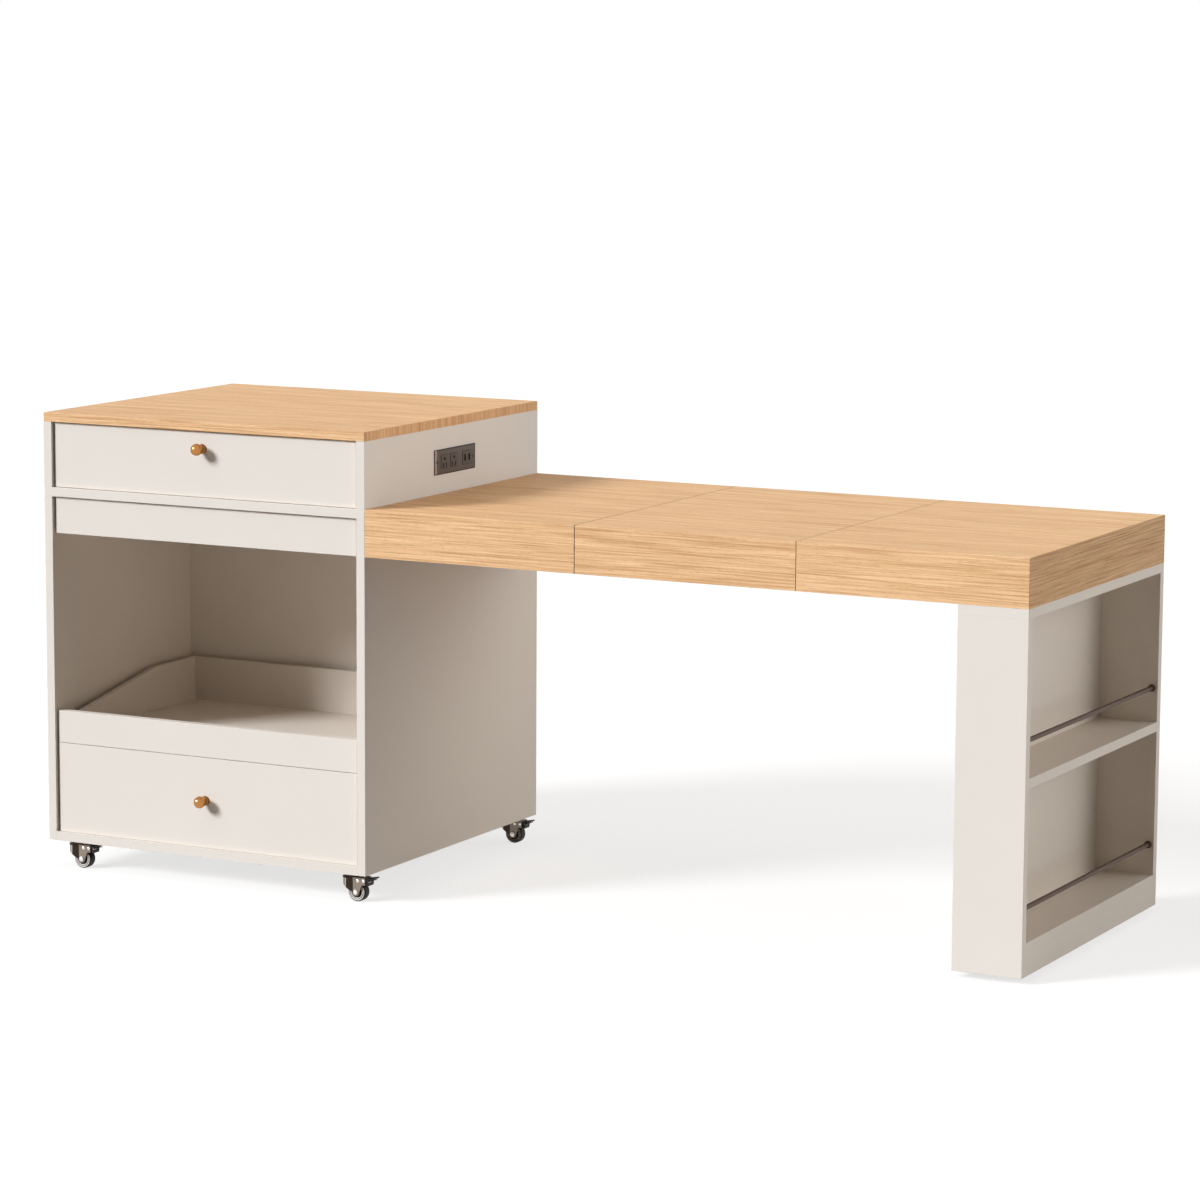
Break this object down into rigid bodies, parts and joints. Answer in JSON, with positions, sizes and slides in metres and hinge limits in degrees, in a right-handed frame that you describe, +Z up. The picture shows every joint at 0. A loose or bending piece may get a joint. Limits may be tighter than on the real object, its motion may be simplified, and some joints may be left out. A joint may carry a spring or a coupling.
{
  "type": "rolling kitchen island with extension table",
  "caption": "Rolling kitchen island cabinet with drawers, an appliance niche with a pull-out tray and a side outlet, and an oak-topped extension table on a shelved leg unit.",
  "frame": {"origin": "middle of the footprint, knobs included, on the floor", "axes": "+X from the cabinet along the table to its end, +Y from the front to the back, +Z up"},
  "size_m": [2.0794, 0.7164, 0.912],
  "materials": {
    "cream_panel": "satin cream paint",
    "drawer_board": "matte cream paint",
    "oak_veneer": "light oak grain, satin",
    "runner_hardwood": "waxed",
    "runner_steel": "zinc plated",
    "knob_metal": "brushed copper tone",
    "outlet_metal": "satin dark bronze",
    "outlet_plastic": "dark bronze, satin",
    "outlet_box_plastic": "matte black",
    "rail_metal": "satin dark bronze",
    "foot_plastic": "matte",
    "caster_plate_metal": "dark plated steel",
    "caster_fork_metal": "dark plated steel with bright rivets",
    "caster_wheel_rubber": "dark tread with a pale ring on each face",
    "caster_pedal_metal": "black"
  },
  "bodies": {
    "cabinet": {"cabinet_top": "oak_veneer", "upper_sides": "cream_panel", "cabinet_back": "cream_panel", "deck_panel": "cream_panel", "lower_sides": "cream_panel", "false_front": "cream_panel", "niche_ceiling": "cream_panel", "niche_back": "cream_panel", "bottom_panel": "cream_panel", "outlet_plate": "outlet_metal", "outlet_inserts": "outlet_plastic", "outlet_box": "outlet_box_plastic", "drawer_runner_rails": "runner_steel", "fixed_table_top": "oak_veneer", "fixed_table_aprons": "oak_veneer", "table_fixed_runners": "runner_hardwood", "caster_plates": "caster_plate_metal", "caster_screws": "caster_plate_metal"},
    "upper_drawer": {"upper_drawer_front": "cream_panel", "upper_drawer_sides": "drawer_board", "upper_drawer_back": "drawer_board", "upper_drawer_bottom": "drawer_board", "upper_drawer_knob": "knob_metal", "upper_drawer_slides": "runner_steel"},
    "tray": {"tray_front": "cream_panel", "tray_sides": "drawer_board", "tray_back": "drawer_board", "tray_bottom": "drawer_board", "tray_slides": "runner_steel"},
    "lower_drawer": {"lower_drawer_front": "cream_panel", "lower_drawer_sides": "drawer_board", "lower_drawer_back": "drawer_board", "lower_drawer_bottom": "drawer_board", "lower_drawer_knob": "knob_metal", "lower_drawer_slides": "runner_steel"},
    "table_leaf": {"leaf_top": "oak_veneer", "leaf_aprons": "oak_veneer"},
    "table_end": {"end_table_top": "oak_veneer", "end_table_aprons": "oak_veneer", "end_apron": "oak_veneer", "table_moving_runners": "runner_steel", "leg_top_panel": "cream_panel", "leg_side_panels": "cream_panel", "leg_back_panel": "cream_panel", "leg_shelves": "cream_panel", "leg_kick_panel": "cream_panel", "guard_rails": "rail_metal", "leveling_feet": "foot_plastic"},
    "caster_front_left": {"caster_fork_front_left": "caster_fork_metal"},
    "wheel_front_left": {"caster_wheel_front_left": "caster_wheel_rubber"},
    "pedal_front_left": {"brake_pedal_front_left": "caster_pedal_metal"},
    "caster_front_right": {"caster_fork_front_right": "caster_fork_metal"},
    "wheel_front_right": {"caster_wheel_front_right": "caster_wheel_rubber"},
    "pedal_front_right": {"brake_pedal_front_right": "caster_pedal_metal"},
    "caster_rear_left": {"caster_fork_rear_left": "caster_fork_metal"},
    "wheel_rear_left": {"caster_wheel_rear_left": "caster_wheel_rubber"},
    "pedal_rear_left": {"brake_pedal_rear_left": "caster_pedal_metal"},
    "caster_rear_right": {"caster_fork_rear_right": "caster_fork_metal"},
    "wheel_rear_right": {"caster_wheel_rear_right": "caster_wheel_rubber"},
    "pedal_rear_right": {"brake_pedal_rear_right": "caster_pedal_metal"}
  },
  "joints": [
    {"name": "upper_drawer_slide", "type": "slide", "parent": "cabinet", "child": "upper_drawer", "axis": [0, -1, 0], "range_m": [0, 0.34]},
    {"name": "tray_slide", "type": "slide", "parent": "cabinet", "child": "tray", "axis": [0, -1, 0], "range_m": [0, 0.34]},
    {"name": "lower_drawer_slide", "type": "slide", "parent": "cabinet", "child": "lower_drawer", "axis": [0, -1, 0], "range_m": [0, 0.34]},
    {"name": "table_leaf_lift", "type": "slide", "parent": "cabinet", "child": "table_leaf", "axis": [0, 0, 1], "range_m": [0, 0.12]},
    {"name": "table_end_slide", "type": "slide", "parent": "cabinet", "child": "table_end", "axis": [1, 0, 0], "range_m": [0, 0.05]},
    {"name": "swivel_front_left", "type": "hinge", "parent": "cabinet", "child": "caster_front_left", "pos_m": [-0.99125, -0.30175, 0], "axis": [0, 0, 1], "continuous": true},
    {"name": "roll_front_left", "type": "hinge", "parent": "caster_front_left", "child": "wheel_front_left", "pos_m": [-0.97475, -0.30175, 0.019], "axis": [0, 1, 0], "continuous": true},
    {"name": "brake_front_left", "type": "hinge", "parent": "caster_front_left", "child": "pedal_front_left", "pos_m": [-0.95825, -0.30175, 0.042], "axis": [0, 1, 0], "range_deg": [0, 10]},
    {"name": "swivel_front_right", "type": "hinge", "parent": "cabinet", "child": "caster_front_right", "pos_m": [-0.35625, -0.30175, 0], "axis": [0, 0, 1], "continuous": true},
    {"name": "roll_front_right", "type": "hinge", "parent": "caster_front_right", "child": "wheel_front_right", "pos_m": [-0.33975, -0.30175, 0.019], "axis": [0, 1, 0], "continuous": true},
    {"name": "brake_front_right", "type": "hinge", "parent": "caster_front_right", "child": "pedal_front_right", "pos_m": [-0.32325, -0.30175, 0.042], "axis": [0, 1, 0], "range_deg": [0, 10]},
    {"name": "swivel_rear_left", "type": "hinge", "parent": "cabinet", "child": "caster_rear_left", "pos_m": [-0.99125, 0.32825, 0], "axis": [0, 0, 1], "continuous": true},
    {"name": "roll_rear_left", "type": "hinge", "parent": "caster_rear_left", "child": "wheel_rear_left", "pos_m": [-0.97475, 0.32825, 0.019], "axis": [0, 1, 0], "continuous": true},
    {"name": "brake_rear_left", "type": "hinge", "parent": "caster_rear_left", "child": "pedal_rear_left", "pos_m": [-0.95825, 0.32825, 0.042], "axis": [0, 1, 0], "range_deg": [0, 10]},
    {"name": "swivel_rear_right", "type": "hinge", "parent": "cabinet", "child": "caster_rear_right", "pos_m": [-0.35625, 0.32825, 0], "axis": [0, 0, 1], "continuous": true},
    {"name": "roll_rear_right", "type": "hinge", "parent": "caster_rear_right", "child": "wheel_rear_right", "pos_m": [-0.33975, 0.32825, 0.019], "axis": [0, 1, 0], "continuous": true},
    {"name": "brake_rear_right", "type": "hinge", "parent": "caster_rear_right", "child": "pedal_rear_right", "pos_m": [-0.32325, 0.32825, 0.042], "axis": [0, 1, 0], "range_deg": [0, 10]}
  ]
}
